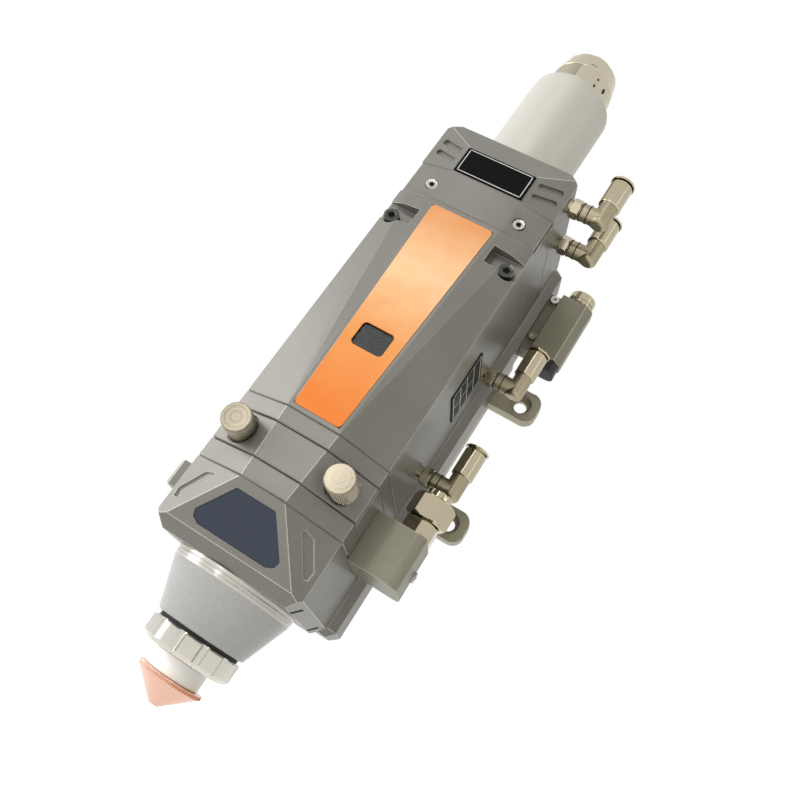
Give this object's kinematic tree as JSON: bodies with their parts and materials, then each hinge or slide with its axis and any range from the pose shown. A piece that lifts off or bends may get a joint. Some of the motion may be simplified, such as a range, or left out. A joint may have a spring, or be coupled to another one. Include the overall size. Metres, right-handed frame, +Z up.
{
  "type": "laser cutting head",
  "caption": "Faceted aluminium fibre laser cutting head with collimator tube, window drawer, copper nozzle, side gas and air fittings, and rear mounting lugs",
  "frame": {"origin": "centre of the four lug holes on the rear mounting face", "axes": "+Z up the optical axis towards the fibre, +Y out of the rear mounting face, faceted front towards -Y, +X the side with the gas and air fittings"},
  "size_m": [0.122, 0.1069, 0.368],
  "materials": {
    "grey_anodised": "satin anodised, mid grey",
    "natural_anodised": "satin natural anodised",
    "orange_anodised": "satin orange anodised",
    "black_anodised": "matte black anodised",
    "silver_anodised": "satin champagne silver, turned",
    "cone_anodised": "satin dark silver, turned",
    "bead_blasted": "bead blasted and anodised, grey brown",
    "black_plate": "matte black enamelled plate, bare",
    "nickel_brass": "nickel plated, bright",
    "nickel_collar": "nickel plated, satin",
    "copper": "turned copper, bright",
    "steel": "ground and hardened",
    "screw_steel": "zinc plated socket screws",
    "alumina": "fired alumina, off-white",
    "window_glass": "clear pane",
    "optical_glass": "coated fused silica",
    "display_pane": "slate blue-grey gloss pane",
    "black_plastic": "moulded black",
    "motor_black": "black painted can",
    "black_rubber": "moulded seal"
  },
  "bodies": {
    "head": {"spine": "grey_anodised", "mounting_plate": "natural_anodised", "main_housing": "grey_anodised", "front_cover": "grey_anodised", "face_plate": "orange_anodised", "scale_window": "window_glass", "front_screws": "screw_steel", "guide_rods": "steel", "focus_motor": "motor_black", "upper_band": "grey_anodised", "drawer_frame": "grey_anodised", "lower_band": "grey_anodised", "nose_block": "grey_anodised", "display_panel": "display_pane", "clamp_band": "grey_anodised", "collimator_block": "grey_anodised", "top_cap": "grey_anodised", "cap_plate": "black_plate", "side_plate": "black_plate", "collimator_tube": "silver_anodised", "collimator_barrel": "black_anodised", "collimating_lens": "optical_glass", "fibre_receiver": "steel", "nose_ring": "nickel_collar", "sensor_cone": "cone_anodised", "nose_seal": "black_rubber", "ceramic_ring": "alumina", "gas_block": "bead_blasted", "gas_inlet": "nickel_brass", "side_screws": "screw_steel", "drive_connector": "bead_blasted", "connector_gland": "black_plastic", "terminal_block": "grey_anodised", "fitting_hex_cap_front": "nickel_brass", "fitting_hex_cap_rear": "nickel_brass", "fitting_hex_housing": "nickel_brass", "fitting_hex_drawer": "nickel_brass"},
    "focus": {"focus_carriage": "black_anodised", "focusing_lens": "optical_glass", "focus_retainer": "black_anodised", "scale_pointer": "black_plastic"},
    "lead_screw": {"lead_screw": "steel"},
    "lock_collar": {"lock_collar": "nickel_collar"},
    "drawer": {"window_drawer": "grey_anodised", "drawer_glass": "optical_glass", "drawer_seal": "black_rubber"},
    "thumb_left": {"thumb_screw_left": "nickel_collar"},
    "thumb_right": {"thumb_screw_right": "nickel_collar"},
    "lock_nut": {"lock_nut": "nickel_brass"},
    "nozzle": {"nozzle": "copper"},
    "gas_nut": {"gas_nut": "nickel_brass"},
    "connector_cap": {"connector_cap": "nickel_brass"},
    "elbow_cap_front": {"fitting_elbow_cap_front": "nickel_brass"},
    "collet_cap_front": {"fitting_collet_cap_front": "nickel_brass"},
    "elbow_cap_rear": {"fitting_elbow_cap_rear": "nickel_brass"},
    "collet_cap_rear": {"fitting_collet_cap_rear": "nickel_brass"},
    "elbow_housing": {"fitting_elbow_housing": "nickel_brass"},
    "collet_housing": {"fitting_collet_housing": "nickel_brass"},
    "elbow_drawer": {"fitting_elbow_drawer": "nickel_brass"},
    "collet_drawer": {"fitting_collet_drawer": "nickel_brass"}
  },
  "joints": [
    {"name": "focus_slide", "type": "slide", "parent": "head", "child": "focus", "axis": [0, 0, 1], "range_m": [-0.01, 0.01]},
    {"name": "drive_spin", "type": "hinge", "parent": "head", "child": "lead_screw", "pos_m": [0, -0.02, -0.014], "axis": [0, 0, 1], "range_deg": [-720.1, 720.1]},
    {"name": "collar_turn", "type": "hinge", "parent": "head", "child": "lock_collar", "pos_m": [0, -0.062, 0.19], "axis": [0, 0, 1], "range_deg": [0, 40]},
    {"name": "drawer_slide", "type": "slide", "parent": "head", "child": "drawer", "axis": [0, -1, 0], "range_m": [0, 0.045]},
    {"name": "thumb_left_turn", "type": "hinge", "parent": "drawer", "child": "thumb_left", "pos_m": [-0.0234, -0.1, -0.06725], "axis": [0, -1, 0], "continuous": true},
    {"name": "thumb_right_turn", "type": "hinge", "parent": "drawer", "child": "thumb_right", "pos_m": [0.0234, -0.1, -0.06725], "axis": [0, -1, 0], "continuous": true},
    {"name": "lock_nut_turn", "type": "hinge", "parent": "head", "child": "lock_nut", "pos_m": [0, -0.062, -0.1443], "axis": [0, 0, 1], "continuous": true},
    {"name": "nozzle_turn", "type": "hinge", "parent": "head", "child": "nozzle", "pos_m": [0, -0.062, -0.157], "axis": [0, 0, 1], "continuous": true},
    {"name": "gas_nut_turn", "type": "hinge", "parent": "head", "child": "gas_nut", "pos_m": [0.0488, -0.0514, -0.0472], "axis": [0, 0, 1], "continuous": true},
    {"name": "connector_cap_turn", "type": "hinge", "parent": "head", "child": "connector_cap", "pos_m": [0.0521, -0.01675, 0.097], "axis": [0, 0, 1], "continuous": true},
    {"name": "elbow_cap_front_swivel", "type": "hinge", "parent": "head", "child": "elbow_cap_front", "pos_m": [0.0415, -0.085, 0.0977], "axis": [1, 0, 0], "range_deg": [-10, 90]},
    {"name": "collet_cap_front_push", "type": "slide", "parent": "elbow_cap_front", "child": "collet_cap_front", "axis": [0, 0, -1], "range_m": [0, 0.0008], "stiffness_N_per_m": 600, "springref_m": -0.0005},
    {"name": "elbow_cap_rear_swivel", "type": "hinge", "parent": "head", "child": "elbow_cap_rear", "pos_m": [0.04195, -0.063, 0.0933], "axis": [1, 0, 0], "range_deg": [-80, 10]},
    {"name": "collet_cap_rear_push", "type": "slide", "parent": "elbow_cap_rear", "child": "collet_cap_rear", "axis": [0, 0, -1], "range_m": [0, 0.0008], "stiffness_N_per_m": 600, "springref_m": -0.0005},
    {"name": "elbow_housing_swivel", "type": "hinge", "parent": "head", "child": "elbow_housing", "pos_m": [0.04205, -0.0394, 0.0264], "axis": [1, 0, 0], "range_deg": [-90, 90]},
    {"name": "collet_housing_push", "type": "slide", "parent": "elbow_housing", "child": "collet_housing", "axis": [0, 0, -1], "range_m": [0, 0.0008], "stiffness_N_per_m": 600, "springref_m": -0.0005},
    {"name": "elbow_drawer_swivel", "type": "hinge", "parent": "head", "child": "elbow_drawer", "pos_m": [0.042, -0.0404, -0.0316], "axis": [1, 0, 0], "range_deg": [-90, 30]},
    {"name": "collet_drawer_push", "type": "slide", "parent": "elbow_drawer", "child": "collet_drawer", "axis": [0, 0, -1], "range_m": [0, 0.0008], "stiffness_N_per_m": 600, "springref_m": -0.0005}
  ],
  "couplings": [
    {"joint": "drive_spin", "follows": "focus_slide", "rad_per_m": 1256.6}
  ]
}
